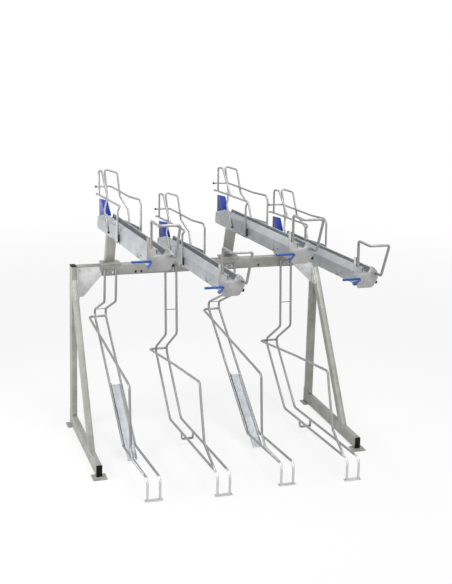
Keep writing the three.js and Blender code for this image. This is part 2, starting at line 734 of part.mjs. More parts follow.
// Leaning post on the beam, with a base plate, a clamp plate and a seat under the support rail
function buildSupportPost(bay, high) {
  const channelTop = postTop + lowChannelAboveBeam + (high ? highChannelStep : 0);
  const centre = bayX(bay - 1) + channelOffset / 2;
  const baseZ = postTop + seatGap;
  const footY = beamFront + supportPostSetback;
  const headY = footY - (high ? highPostLean : lowPostLean);
  const headMiddle = headY + supportPostDepth / 2;
  const railUnderside = channelTop - (pivotDrop + supportDepth / 2) / Math.cos(slopeAngle)
    + (beamFront - headMiddle) * Math.tan(slopeAngle);
  const headZ = railUnderside - seatGap;
  const slope = Math.tan(slopeAngle) * (supportPostDepth / 2);
  const stem = plateYZ([
    [footY, baseZ + postBaseThick / 2], [footY + supportPostDepth, baseZ + postBaseThick / 2],
    [headY + supportPostDepth, headZ - slope], [headY, headZ + slope],
  ], centre - supportPostWidth / 2, supportPostWidth);
  const baseRear = Math.max(footY + supportPostDepth, beamRear + gussetThick);
  const pieces = [
    stem,
    block([centre - postBaseWidth / 2, beamFront - gussetThick, baseZ],
      [centre + postBaseWidth / 2, baseRear, baseZ + postBaseThick]),
  ];
  const clampHalf = supportPostWidth / 2 + clampEdge;
  pieces.push(block([centre - clampHalf, beamRear, postTop - clampDrop],
    [centre + clampHalf, beamRear + gussetThick, baseZ + postBaseThick / 2]));
  for (const sign of [-1, 1]) {
    pieces.push(hexHead(centre + sign * (postBaseWidth / 2 - boltInset), beamFront + beamDepth / 2,
      baseZ + postBaseThick, "z", 1));
  }
  add("support_post_" + bay, join(pieces), paints.galvanised);
}

for (let bay = 1; bay <= bayCount; bay++) {
  const high = bay % 2 === 1;
  buildSupportPost(bay, high);
  const tilted = new THREE.Group();
  tilted.position.set(bayX(bay - 1) + channelOffset, beamFront,
    postTop + lowChannelAboveBeam + (high ? highChannelStep : 0));
  tilted.rotation.x = -slopeAngle;
  rack.add(tilted);
  buildSupport(bay, tilted);
  buildCradle(bay, tilted);
  buildChannel(bay, tilted);
  buildHandle(bay, tilted);
  buildHolder(bay, tilted);
  buildStop(bay, tilted);
  buildLever(bay, tilted);
}

// The origin is the middle of the rack's outline on the floor
const outlineBox = new THREE.Box3().setFromObject(rack);
const outlineMiddle = outlineBox.getCenter(new THREE.Vector3());
rack.position.set(-outlineMiddle.x, -outlineMiddle.y, -outlineBox.min.z);

export default rack;
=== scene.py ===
"""The looks of a two tier bike rack, fitted to its CAD model.

The front is -Y and the left is -X. Sizes are in millimetres and become metres where a mesh is made.
The materials, camera, lamps and floor are in metres.
"""
import bmesh
import bpy
import math
from mathutils import Matrix, Vector


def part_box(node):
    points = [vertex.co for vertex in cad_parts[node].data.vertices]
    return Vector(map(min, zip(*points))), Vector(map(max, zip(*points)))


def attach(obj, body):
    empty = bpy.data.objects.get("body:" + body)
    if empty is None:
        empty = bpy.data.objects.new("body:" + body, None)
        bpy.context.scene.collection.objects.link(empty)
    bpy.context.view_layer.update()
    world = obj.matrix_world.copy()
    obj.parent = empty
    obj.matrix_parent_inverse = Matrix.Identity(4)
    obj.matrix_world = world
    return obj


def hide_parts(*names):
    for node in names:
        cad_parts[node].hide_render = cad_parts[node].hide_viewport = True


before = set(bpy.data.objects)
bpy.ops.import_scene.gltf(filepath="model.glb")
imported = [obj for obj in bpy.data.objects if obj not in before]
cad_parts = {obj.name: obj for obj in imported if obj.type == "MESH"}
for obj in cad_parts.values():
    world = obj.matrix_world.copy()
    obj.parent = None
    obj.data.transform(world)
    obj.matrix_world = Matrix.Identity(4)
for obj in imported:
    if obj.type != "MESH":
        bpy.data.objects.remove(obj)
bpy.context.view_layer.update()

MM = 0.001
WHITE = (1, 1, 1, 1)

# How finely bends, corners and edges are drawn
rod_sides = 16
cap_sides = 24
washer_sides = 20
head_sides = 6
bend_step = math.radians(9)
corner_step = math.radians(18)
fold_step = math.radians(22)
curve_steps = 6
least_turn = 0.02
least_length = 0.05
bend_reach_share = 0.499
soft_edge = 0.8
edge_segments = 2
edge_angle = math.radians(40)
shade_angle = math.radians(32)
rod_end_share = 0.8
rod_end_setback_share = 0.1


def box(node):
    """A CAD node's lowest and highest corner in millimetres."""
    low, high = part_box(node)
    return low / MM, high / MM


# Sizes that follow the frame
front_foot_reach = 45
beam_low, beam_high = box("crossbeam")
base_front = box("left_base")[0].y + front_foot_reach
frame_place = Matrix.Translation((0, base_front, 0))
half_frame = -box("left_post")[0].x
beam_front = beam_low.y - base_front
beam_bottom = beam_low.z
post_top = beam_high.z

# Bays, counted from the left
bays = (1, 2, 3, 4)
bay_pitch = 450
bays_middle = 10

# Frame
tube_width = 40
tube_height = 80
tube_wall = 3
tube_corner = 5
foot_plate = 8
foot_corner = 3
front_foot = (95, 90)
rear_foot = (100, 90)
base_length = 976
heel_plate = 6
heel_rise = 35
heel_corners = [1, 1, 6, 6]
post_depth = 80
strut_depth = 55
strut_foot = 265
strut_head_drop = 144
strut_edge = 3.5
beam_depth = 60
cap_rim = 5
cap_edge = 1.5
seat_gap = 0.3
base_top = foot_plate + tube_height
post_rear = base_length - heel_plate
post_front = post_rear - post_depth
beam_rear = beam_front + beam_depth
strut_lean = math.atan2(post_front - strut_foot, post_top - strut_head_drop - base_top)
strut_half = strut_depth / 2 / math.cos(strut_lean)

# Slots in the crossbeam's face, drawn as black patches on it: painted shade inside the open slots
beam_slots = (-475, -434, 468)
beam_slot = (14, 20)
beam_slot_corner = 6.86
beam_slot_drop = 20
slot_shade_proud = 1
slot_shade_thick = 2
slot_shade_edge = 0.4

# Gussets. What differs is given by side, -1 for the left and 1 for the right
gusset_thick = 5
gusset_reach = {-1: 183, 1: 160}
gusset_foot_reach = {-1: 48, 1: 10}
gusset_drop = {-1: 225, 1: 216}
gusset_top_drop = 10
gusset_corners = [3, 8, 10, 4, 2]
gusset_flange = 130
flange_inset = 6
flange_corners = [8, 1, 1, 10]

# Bolts
bolt_inset = 18
gusset_bolt = 8.4
post_bolt = 10.8
post_bolt_rise = 19.2
strut_bolt = 8.4
strut_bolt_setback = 60
strut_bolt_drop = 28
support_bolt = 10.8
top_bolt = 10
top_bolt_spacing = 44
foot_bolt = 7
foot_bolt_inset = 10

# A bolt's washer and head, in shares of its size, and how far they sink into what they clamp
washer_height_share = 0.16
washer_rim_share = 0.8
washer_top_share = 0.94
washer_sink = 0.3
head_radius_share = 0.95
head_height_share = 0.62
head_chamfer_share = 0.12
head_top_share = 0.84
head_sink = 0.2

# Lower stands
rail_bar = 17
rail_spacing = 83
rail_bend = 42
weld_sink = 1
wire_bar = 7
stand_foot = (118, 34, 6)
stand_foot_corner = 5
knee_height = 150
top_plate = (100, 42, 5)
top_plate_corner = 3
guard_offset = 47
guard_bend = 34
strap_y = 392
strap = (30, 5, 38)
strap_bend = 7
top_plate_front = beam_front - seat_gap - top_plate[2]

# Places on the stands are shares of the beam's distance and of its underside's height, [Y, Z].
# The guard's ends and the wires are [run of the rail, share of that run]. Run 0 starts at the floor
knee = 1
elbow = 2
kink_rear = 3
low_shares = {
    "foot": -0.5, "elbow": (0.769, 0.0603), "kink_rear": (1.275, 0.4184), "kink_front": (0.943, 0.595),
    "guard_start": (1, 0.052), "guard_end": (2, 0.985), "wires": [(4, 0.42)],
    "guard": [(-0.33, 0.266), (-0.2264, 0.4965), (-0.187, 0.594), (0.4725, 0.5177)],
}
high_shares = {
    "foot": -0.456, "elbow": (0.291, 0.078), "kink_rear": (1.4286, 0.6738), "kink_front": (0.9945, 0.828),
    "guard_start": (1, 0.093), "guard_end": (2, 0.949), "wires": [(3, 0.12)],
    "guard": [(-0.2363, 0.1729), (-0.1648, 0.2305), (-0.1099, 0.5851)],
}

# Gutters of the high stands, from and to shares of the rising run
gutter_wall = 24
gutter_sheet = 2.5
gutter_bend = 4
gutter_shares = (-0.092, 0.432)

# Wheel channels
low_channel_above_beam = 185
high_channel_step = 182
channel_slope = math.radians(2.93)
channel_offset = 16
channel_front = 1372
channel_rear = 200
sheet = 3
channel_bend = 3
groove_half = 26
groove_depth = 45
flank_half = 67
flank_drop = 38
channel_height = 119
lip_width = 15
corner_cut = (34, 42)
ridge_rear = 75
crease_rear = 112
tongue_rear = 188
side_plate_thick = 5
side_plate_front = 536
side_plate_shares = [
    (0, -1), (0.96, -1), (0.993, -0.93), (0.983, -0.52), (0.88, -0.33), (0.82, -0.30), (0, -0.06),
]
side_plate_corners = [3, 8, 8, 10, 30, 30, 4]

# Support posts
post_base = (145, 12)
post_base_corner = 9
post_base_edge = 2
support_post = (70, 52)
support_edge = 4
support_setback = 45
high_post_lean = 80
low_post_lean = 32
pivot_drop = 95
support_depth = 30
clamp_drop = 58
clamp_edge = 9
clamp_corners = [6, 6, 1, 1]

# End plate, in shares of its half width and of the channel's height, [X, Z]
end_plate_thick = 5
end_plate_half = 91
ear_shares = [(-1, 0.55), (-0.64, 0.55), (-0.62, 0.08)]
notch_left_shares = [(-0.38, -0.05), (-0.36, -0.35), (-0.26, -0.35)]
notch_right_shares = [(0.02, -0.35), (0.12, -0.35), (0.31, 0)]
shoulder_shares = [(0.45, -0.03), (0.7, -0.12), (0.87, -0.38)]
toe_shares = [(0.87, -0.66), (0.55, -1.09), (0.38, -1.16), (-0.66, -1.16), (-1, -0.5)]

# Pull handle
handle_bar = 17
handle_half = 66
handle_start = 4
handle_rise = 170
handle_dip = 5
handle_reach = 180
handle_foot = (76, 48)
handle_bend = 20

# Release lever, with the cap on its axle as [reach, radius]
lever_bar = 16
lever_setback = 14
lever_drop = 109
lever_arm = 120
lever_rise = 54
lever_knee_share = 0.32
lever_half = 88
lever_tail = 72
lever_grip = 122
lever_bend = 20
lever_axle = lever_setback - channel_front
axle_cap_gap = 1
axle_cap_profile = [(0, 9.2), (1, 10), (11, 10), (13.5, 9), (14.3, 7)]

# Front wheel holder, in shares of the channel's front length and of its height, [Y, Z]
holder_bar = 13.5
holder_bend = 30
hoop_bend = 18
holder_spread = 5
left_rail_offset = 65
right_rail_offset = 43
neck_half = 46
holder_shares = {
    "left_leg": [(-0.383, -0.87), (-0.383, 0.9)], "left_rail": [(-0.394, 1.15), (0.17, 1.03)],
    "right_leg": [(-0.386, -0.84), (-0.386, 1.28), (-0.355, 1.44)],
    "right_rail": [(-0.245, 1.45), (0.186, 1.44)],
    "side_hoop": [(0.109, 1.05), (0.109, 2.54), (0.031, 2.575), (-0.089, 1.32), (-0.111, 1.09)],
    "wheel_hoop": [(-0.163, -0.742), (-0.091, 0.45), (-0.0335, 1.125)],
    "hoop_tops": [(0.033, 2.71), (0.033, 2.47)],
}
channel_half = flank_half + side_plate_thick
holder_half = channel_half + seat_gap + holder_bar / 2

# Small fasteners on a channel, in the same shares
tip_length = 8
tip_overlap = 4
tip_wall = 1.5
nut_width = 14
nut_height = 9
nut_sink = 1
foot_nut_reach = 14
foot_nut_overlap = 7
clamp_shares = [(-0.393, -0.41), (-0.381, -0.84)]
clamp_thick = 5
clamp_bolt = 7
clamp_bolt_share = (-0.352, -0.93)
edge_bolt = 4.2
edge_bolt_shares = [(-0.236, -0.94), (-0.274, -0.94)]
tab_bolt = 4.9
tab_bolt_shares = [(-0.786, -0.89), (-0.822, -0.72)]
tab = (3, 30, 26)
tab_share = (-0.757, -0.83)
tab_sink = 0.2

# Wheel stop, in shares of its half width and of its height, [X, Z]
stop_thick = 5
stop_setback = 20
stop_half = 30
stop_height = 90
stop_clear = 2
stop_turn = math.radians(-35)
stop_corners = [1, 2, 1, 4, 10, 3, 0]
stop_right_share = 1.03
stop_fold_share = -0.4
stop_top_shares = [(0.13, 0.87), (-1.47, 1)]
stop_wing_shares = [(-1.42, 1), (-0.35, -0.4), (-1.99, -0.67), (-1.97, 1.04)]
stop_wing_corners = [1, 1, 12, 6]

# The Mix node's sockets where it mixes colours
MIX_SHARE = 0
MIX_FIRST = 6
MIX_SECOND = 7
MIX_RESULT = 2


def add_object(name, data):
    made = bpy.data.objects.new(name, data)
    bpy.context.scene.collection.objects.link(made)
    return made


# Parts of materials
def feed(tree, source, socket):
    """Links a source to a socket, or sets the socket's own value."""
    if isinstance(source, bpy.types.NodeSocket):
        tree.links.new(source, socket)
    else:
        socket.default_value = source


def node_of(tree, kind, **values):
    """A new node, with values for its settings, and values or links for its sockets."""
    made = tree.nodes.new(kind)
    for key, value in values.items():
        if key in made.inputs:
            feed(tree, value, made.inputs[key])
        else:
            setattr(made, key, value)
    return made


def start_material(name):
    material = bpy.data.materials.new(name)
    material.use_nodes = True
    tree = material.node_tree
    place = tree.nodes.new("ShaderNodeTexCoord").outputs["Object"]
    return material, tree, tree.nodes["Principled BSDF"], place


def grey(value, warmth=0.0):
    """A grey with less blue where warmth is above zero, and less red and more blue below it."""
    return (value * (1 + min(0, warmth)), value, value * (1 - warmth))


def noise_of(tree, place, scale, detail, roughness=0.55):
    return node_of(tree, "ShaderNodeTexNoise", Vector=place, Scale=scale, Detail=detail,
                   Roughness=roughness).outputs["Fac"]


def ramp_of(tree, source, first, last, edges=(0.3, 0.7)):
    """A colour that goes from first to last while the source goes from one edge to the other."""
    ramp = node_of(tree, "ShaderNodeValToRGB", Fac=source)
    for mark, edge, colour in zip(ramp.color_ramp.elements, edges, (first, last)):
        mark.position = edge
        mark.color = (*colour, 1)
    return ramp.outputs["Color"]


def fade_of(tree, source, first, last, low, high):
    """A number that goes from low to high while the source goes from first to last."""
    limits = {"From Min": first, "From Max": last, "To Min": low, "To Max": high}
    return node_of(tree, "ShaderNodeMapRange", Value=source, **limits).outputs["Result"]


def blend_colours(tree, first, second, share, mode="MIX"):
    mix = node_of(tree, "ShaderNodeMix", data_type="RGBA", blend_type=mode)
    for source, socket in ((share, MIX_SHARE), (first, MIX_FIRST), (second, MIX_SECOND)):
        feed(tree, source, mix.inputs[socket])
    return mix.outputs[MIX_RESULT]


def finish_surface(tree, shader, colour, roughness, bump_source, bump, depth):
    tree.links.new(colour, shader.inputs["Base Color"])
    tree.links.new(roughness, shader.inputs["Roughness"])
    bumps = node_of(tree, "ShaderNodeBump", Height=bump_source, Strength=bump, Distance=depth)
    tree.links.new(bumps.outputs["Normal"], shader.inputs["Normal"])


# Zinc coated steel
crystal_warp = 0.004
cloud_share = 0.6
cloud_dark_share = 0.92
cloud_light_share = 1.06
cloud_warm_share = 1.6
cloud_cool_share = 0.4
grain_scale = 420
grain_share = 0.55
grain_shade = 0.86
grain_edges = (0.35, 0.6)
grain_depth = 0.0006
patches_per_cloud = 3
smoother = 0.08
rougher = 0.1


def crystals_of(tree, place, spangle):
    """A number for each of the zinc's crystals, whose edges are bent a little."""
    bend = node_of(tree, "ShaderNodeTexNoise", Vector=place, Scale=spangle / 2, Detail=2)
    bent = node_of(tree, "ShaderNodeVectorMath", operation="MULTIPLY_ADD")
    sources = (bend.outputs["Color"], (crystal_warp, crystal_warp, crystal_warp), place)
    for source, socket in zip(sources, bent.inputs):
        feed(tree, source, socket)
    crystals = node_of(tree, "ShaderNodeTexVoronoi", Vector=bent.outputs[0], Scale=spangle)
    return node_of(tree, "ShaderNodeSeparateColor", Color=crystals.outputs["Color"]).outputs[0]


def zinc(name, dark, light, warmth, rough, metallic, spangle=150, cloud=9, bump=0.12):
    """Crystals of slightly different greys, cloudy stains and a fine grain."""
    material, tree, shader, place = start_material(name)
    cells = ramp_of(tree, crystals_of(tree, place, spangle), grey(dark, warmth), grey(light, warmth),
                    edges=(0, 1))
    clouds = ramp_of(tree, noise_of(tree, place, cloud, detail=5),
                     grey(dark * cloud_dark_share, warmth * cloud_warm_share),
                     grey(light * cloud_light_share, warmth * cloud_cool_share))
    grain = noise_of(tree, place, grain_scale, detail=2)
    specks = ramp_of(tree, grain, grey(grain_shade), grey(1), grain_edges)
    colour = blend_colours(tree, cells, clouds, cloud_share)
    colour = blend_colours(tree, colour, specks, grain_share, "MULTIPLY")
    roughness = ramp_of(tree, noise_of(tree, place, cloud * patches_per_cloud, detail=4),
                        grey(rough - smoother), grey(rough + rougher))
    shader.inputs["Metallic"].default_value = metallic
    finish_surface(tree, shader, colour, roughness, grain, bump, grain_depth)
    return material


def paint_leg_highlight(material, rear, fade, light):
    """A painted highlight: a lighter zinc colour on the upright legs at the front, which end at a Y."""
    tree = material.node_tree
    target = tree.nodes["Principled BSDF"].inputs["Base Color"]
    body = target.links[0].from_socket
    place = tree.nodes.new("ShaderNodeTexCoord").outputs["Object"]
    spot = node_of(tree, "ShaderNodeSeparateXYZ", Vector=place)
    share = fade_of(tree, spot.outputs["Y"], rear, rear + fade, 1, 0)
    tree.links.new(blend_colours(tree, body, (*light, 1), share), target)


def paint(name, deep, bright, rough, worn):
    """Smooth powder coat with a faint orange peel and a few rubbed specks."""
    material, tree, shader, place = start_material(name)
    body = ramp_of(tree, noise_of(tree, place, scale=14, detail=4), deep, bright)
    specks = ramp_of(tree, noise_of(tree, place, scale=190, detail=3, roughness=0.7),
                     grey(0), grey(1), edges=(0.68, 0.74))
    colour = blend_colours(tree, body, (*worn, 1), specks)
    roughness = ramp_of(tree, noise_of(tree, place, scale=60, detail=3),
                        grey(rough - 0.05), grey(rough + rougher))
    shader.inputs["Specular IOR Level"].default_value = 0.3
    shader.inputs["Coat Weight"].default_value = 0.15
    shader.inputs["Coat Roughness"].default_value = 0.25
    peel = noise_of(tree, place, scale=900, detail=2)
    finish_surface(tree, shader, colour, roughness, peel, bump=0.08, depth=0.0003)
    return material


def plastic(name, dark, light, rough):
    """Moulded plastic with a fine eroded grain and dusty patches."""
    material, tree, shader, place = start_material(name)
    dust = noise_of(tree, place, scale=40, detail=4)
    colour = ramp_of(tree, dust, grey(dark), grey(light), edges=(0.35, 0.75))
    roughness = ramp_of(tree, noise_of(tree, place, scale=80, detail=3),
                        grey(rough - smoother), grey(rough + smoother))
    shader.inputs["Specular IOR Level"].default_value = 0.15
    grain = noise_of(tree, place, scale=1400, detail=2)
    finish_surface(tree, shader, colour, roughness, grain, bump=0.2, depth=0.0002)
    return material


# Materials of the frame
galvanised = zinc("galvanised", dark=0.26, light=0.395, warmth=0.08, rough=0.52, metallic=0.35)
# The support posts get a lighter copy of the frame's zinc. This is painted light against the shade they stand
# in under the channels.
post_painted_light_zinc = zinc("post_painted_light_zinc", dark=0.31, light=0.47, warmth=0.08, rough=0.52, metallic=0.35)
gusset_zinc = zinc("galvanised_plate", dark=0.55, light=0.78, warmth=0, rough=0.45, metallic=0.3,
                   spangle=90, cloud=16)

# Materials of the channels and gutters
plate_zinc = zinc("end_plate_zinc", dark=0.333, light=0.47, warmth=0.01, rough=0.42, metallic=0.5,
                  spangle=160, cloud=18)
gutter_zinc = zinc("gutter_zinc", dark=0.47, light=0.57, warmth=-0.03, rough=0.5, metallic=0.25,
                   spangle=160, cloud=8)
zinc_sheet = zinc("zinc_sheet", dark=0.344, light=0.484, warmth=-0.045, rough=0.42, metallic=0.45,
                  spangle=120, cloud=7)
hidden_steel = zinc("inner_steel", dark=0.22, light=0.36, warmth=0.02, rough=0.55, metallic=0.4)

# Materials of the round bars
bar_look = dict(dark=0.27, light=0.33, warmth=0, rough=0.36, metallic=0.55, spangle=300, cloud=5, bump=0.02)
bright_bar = zinc("bright_bar", **bar_look)
stand_bar = zinc("stand_bar", **bar_look)
# The stands' front legs get a painted highlight, a lighter colour in front of legs_rear.
legs_rear = (base_front + high_shares["foot"] * beam_front + rail_bar) * MM
paint_leg_highlight(stand_bar, legs_rear, fade=0.02, light=grey(0.62))

# Materials of bolts, painted parts and plastic
bolt_grain = dict(spangle=400, cloud=60, bump=0.05)
bolt_zinc = zinc("bolt_zinc", dark=0.30, light=0.50, warmth=0.01, rough=0.35, metallic=0.8, **bolt_grain)
# This near-black also colours the holder's clamp, where it is painted shade.
dark_bolt_and_clamp_shade = zinc("dark_bolt_and_clamp_shade", dark=0.02, light=0.05, warmth=0, rough=0.4, metallic=0.5, **bolt_grain)
lever_blue = paint("lever_blue", deep=(0.003, 0.055, 0.26), bright=(0.006, 0.085, 0.36), rough=0.3,
                   worn=(0.04, 0.14, 0.38))
stop_blue = paint("stop_blue", deep=(0.006, 0.04, 0.36), bright=(0.014, 0.06, 0.46), rough=0.42,
                  worn=(0.05, 0.09, 0.46))
# The wing's paler blue is a painted sheen: the stop's own paint, made lighter where the wing faces the light.
wing_sheen_blue = paint("stop_wing_painted_sheen", deep=(0.13, 0.14, 0.33), bright=(0.17, 0.18, 0.40), rough=0.42,
                  worn=(0.22, 0.23, 0.44))
# This black also colours the patches on the crossbeam's slots, where it is painted shade.
black_plastic = plastic("black_plastic", dark=0.004, light=0.011, rough=0.5)


# Outlines and paths
def sized(share, width, height):
    return (share[0] * width, share[1] * height)


def all_sized(shares, width, height):
    return [sized(share, width, height) for share in shares]


def rectangle(low, high):
    return [(low[0], low[1]), (high[0], low[1]), (high[0], high[1]), (low[0], high[1])]


def around(middle, size):
    """A rectangle about its middle."""
    return rectangle((middle[0] - size[0] / 2, middle[1] - size[1] / 2),
                     (middle[0] + size[0] / 2, middle[1] + size[1] / 2))


def fillet(before, here, after, radius, step=bend_step):
    """The arc that rounds a corner, as points."""
    first = before - here
    second = after - here
    turn = math.pi - first.angle(second)
    if turn < least_turn or radius <= 0:
        return [here]
    back = min(radius * math.tan(turn / 2), bend_reach_share * first.length, bend_reach_share * second.length)
    radius = back / math.tan(turn / 2)
    inward = (first.normalized() + second.normalized()).normalized()
    centre = here + inward * (radius / math.cos(turn / 2))
    spoke = here + first.normalized() * back - centre
    end = here + second.normalized() * back - centre
    axis = spoke.cross(end).normalized()
    steps = max(2, math.ceil(turn / step))
    return [centre + Matrix.Rotation(turn * k / steps, 3, axis) @ spoke for k in range(steps + 1)]


def bent_line(corners, radius, step=bend_step):
    """A path of straight runs with a round bend at each inner corner."""
    corners = [Vector(corner) for corner in corners]
    line = [corners[0]]
    for before, here, after in zip(corners, corners[1:], corners[2:]):
        line += fillet(before, here, after, radius, step)
    return line + [corners[-1]]


def rounded(outline, radius):
    """A closed flat outline with its corners rounded. radius is a number, or one for each corner."""
    count = len(outline)
    radii = radius if isinstance(radius, list) else [radius] * count
    spots = [Vector((*spot, 0)) for spot in outline]
    made = []
    for k in range(count):
        made += fillet(spots[k - 1], spots[k], spots[(k + 1) % count], radii[k], corner_step)
    return [(spot.x, spot.y) for spot in made]


def curve(start, control, end):
    """A bend that leans towards a control point, without its first point."""
    return [tuple((1 - t) ** 2 * a + 2 * t * (1 - t) * b + t * t * c for a, b, c in zip(start, control, end))
            for t in ((k + 1) / curve_steps for k in range(curve_steps))]


def strip(line, thick, bend, start, end):
    """A folded sheet from its middle line in X and Z. start and end give the Y of its edges at a spot."""
    middle = bent_line([(x, 0, z) for x, z in line], bend, fold_step)
    outer = []
    inner = []
    for k, spot in enumerate(middle):
        along = (middle[min(k + 1, len(middle) - 1)] - middle[max(k - 1, 0)]).normalized()
        side = Vector((-along.z, 0, along.x)) * thick / 2
        outer.append(spot + side)
        inner.append(spot - side)
    loop = outer + list(reversed(inner))
    near = [Vector((spot.x, start(spot), spot.z)) for spot in loop]
    far = [Vector((spot.x, end(spot), spot.z)) for spot in loop]
    size = len(loop)
    faces = [[i, (i + 1) % size, size + (i + 1) % size, size + i] for i in range(size)]
    for k in range(len(middle) - 1):
        quad = [k, k + 1, size - 2 - k, size - 1 - k]
        faces.append(quad[::-1])
        faces.append([size + i for i in quad])
    return near + far, faces


# Which of X, Y and Z a flat outline's two axes and its thickness follow
PLANES = {"x": (1, 2, 0), "y": (0, 2, 1), "z": (0, 1, 2)}


def laid(plane, *values):
    """A spot from its values along an outline's two axes and its thickness."""
    spot = Vector()
    for axis, value in zip(PLANES[plane], values):
        spot[axis] = value
    return spot


class Piece:
    """A piece of the scene: solids gathered in millimetres, in the frame of their sub-part."""

    def __init__(self, place=frame_place, body="frame"):
        self.place = place
        self.body = body
        self.vertices = []
        self.faces = []

    def add(self, vertices, faces):
        start = len(self.vertices)
        self.vertices += [Vector(vertex) for vertex in vertices]
        self.faces += [[start + index for index in face] for face in faces]

    def rings(self, rings, closed=False):
        """A skin over rings of points, with flat ends unless it closes on itself."""
        size = len(rings[0])
        count = len(rings)
        faces = []
        for k in range(count if closed else count - 1):
            here = k * size
            there = (k + 1) % count * size
            for i in range(size):
                j = (i + 1) % size
                faces.append([here + i, here + j, there + j, there + i])
        if not closed:
            faces.append(list(reversed(range(size))))
            faces.append(list(range((count - 1) * size, count * size)))
        self.add([spot for ring in rings for spot in ring], faces)

    def rod(self, corners, diameter, bend=0):
        """A round bar along a path, with softened ends."""
        line = bent_line(corners, bend)
        line = [spot for k, spot in enumerate(line) if k == 0 or (spot - line[k - 1]).length > least_length]
        last = len(line) - 1
        angles = [2 * math.pi * i / rod_sides for i in range(rod_sides)]
        side = None
        rings = []
        for k, spot in enumerate(line):
            along = (line[min(k + 1, last)] - line[max(k - 1, 0)]).normalized()
            if side is None:
                side = along.orthogonal()
            side = (side - along * side.dot(along)).normalized()
            other = along.cross(side)
            ring = [spot + (side * math.cos(a) + other * math.sin(a)) * diameter / 2 for a in angles]
            narrow = [spot + (point - spot) * rod_end_share for point in ring]
            setback = along * diameter * rod_end_setback_share
            if k == 0:
                rings += [narrow, [point + setback for point in ring]]
            elif k == last:
                rings += [[point - setback for point in ring], narrow]
            else:
                rings.append(ring)
        self.rings(rings)

    def prism(self, outline, plane, start, thick, edge=soft_edge):
        """A flat outline given thickness, with its edges softened."""
        solid = bmesh.new()
        near = [solid.verts.new(laid(plane, u, v, start)) for u, v in outline]
        face = solid.faces.new(near)
        made = bmesh.ops.extrude_face_region(solid, geom=[face])
        shift = laid(plane, 0, 0, thick)
        for item in made["geom"]:
            if isinstance(item, bmesh.types.BMVert):
                item.co += shift
        bmesh.ops.recalc_face_normals(solid, faces=solid.faces)
        hard = [line for line in solid.edges if line.calc_face_angle(0) > edge_angle]
        bmesh.ops.bevel(solid, geom=hard, offset=edge, segments=edge_segments, affect="EDGES", profile=0.5,
                        clamp_overlap=True)
        solid.verts.index_update()
        self.add([vertex.co.copy() for vertex in solid.verts],
                 [[vertex.index for vertex in face.verts] for face in solid.faces])
        solid.free()

    def block(self, low, high):
        self.prism(rectangle(low, high), "z", low[2], high[2] - low[2])

    def tube(self, low, high, plane):
        """A hollow tube of rectangular section, open at both ends, along the plane's normal."""
        a, b, along = PLANES[plane]
        outer = rounded(rectangle((low[a], low[b]), (high[a], high[b])), tube_corner)
        inner = rounded(rectangle((low[a] + tube_wall, low[b] + tube_wall),
                                  (high[a] - tube_wall, high[b] - tube_wall)), tube_corner - tube_wall)
        rings = ((outer, low[along]), (outer, high[along]), (inner, high[along]), (inner, low[along]))
        self.rings([[laid(plane, u, v, w) for u, v in outline] for outline, w in rings], closed=True)

    def bolt(self, spot, direction, size, washer=True):
        """A hexagon head whose base is at a spot, on a washer or without one."""
        spot = Vector(spot)
        turn = Vector(direction).to_track_quat("Z", "Y").to_matrix()

        def ring(radius, z, sides):
            angles = [2 * math.pi * k / sides for k in range(sides)]
            return [spot + turn @ Vector((math.cos(a) * radius, math.sin(a) * radius, z)) for a in angles]

        lift = 0
        if washer:
            lift = washer_height_share * size
            self.rings([ring(size, -washer_sink, washer_sides),
                        ring(size, lift * washer_rim_share, washer_sides),
                        ring(size * washer_top_share, lift, washer_sides)])
        radius = head_radius_share * size
        top = lift + head_height_share * size
        self.rings([ring(radius, lift - head_sink, head_sides),
                    ring(radius, top - head_chamfer_share * size, head_sides),
                    ring(radius * head_top_share, top, head_sides)])

    def make(self, name, material, replaces=None):
        """The finished piece, which rides on its body and may stand for a CAD node."""
        mesh = bpy.data.meshes.new(name)
        mesh.from_pydata([tuple((self.place @ vertex) * MM) for vertex in self.vertices], [], self.faces)
        mesh.validate()
        solid = bmesh.new()
        solid.from_mesh(mesh)
        bmesh.ops.recalc_face_normals(solid, faces=solid.faces)
        solid.to_mesh(mesh)
        solid.free()
        mesh.shade_smooth()
        mesh.set_sharp_from_angle(angle=shade_angle)
        mesh.materials.append(material)
        piece = add_object(name, mesh)
        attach(piece, self.body)
        if replaces:
            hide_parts(replaces)


# Camera, at the photograph's angle
camera_spot = (-2.29246, -6.95242, 3.15062)
camera_yaw = 0.3195
camera_pitch = 0.2166
camera_roll = 0.0269
sensor_width = 36
focal_pixels = 1101.78
image_size = (452, 584)
image_centre_pixel = (226.03, 233.6)
farthest_seen = 500


def make_camera():
    turn = Matrix.Rotation(-camera_yaw, 4, "Z") @ Matrix.Rotation(math.pi / 2 - camera_pitch, 4, "X") \
        @ Matrix.Rotation(camera_roll, 4, "Z")
    width, height = image_size
    data = bpy.data.cameras.new("camera")
    data.sensor_width = sensor_width
    data.lens = focal_pixels / height * sensor_width
    data.shift_x = (width / 2 - image_centre_pixel[0]) / height
    data.shift_y = -(height / 2 - image_centre_pixel[1]) / height
    data.clip_end = farthest_seen
    camera = add_object("camera", data)
    camera.matrix_world = Matrix.Translation(camera_spot) @ turn
    bpy.context.scene.camera = camera


make_camera()


# Light, floor and background
def make_lamp(name, spot, aim, size, power):
    data = bpy.data.lights.new(name, "AREA")
    data.shape = "DISK"
    data.size = size
    data.energy = power
    lamp = add_object(name, data)
    lamp.location = spot
    lamp.rotation_euler = (Vector(aim) - Vector(spot)).to_track_quat("-Z", "Y").to_euler()


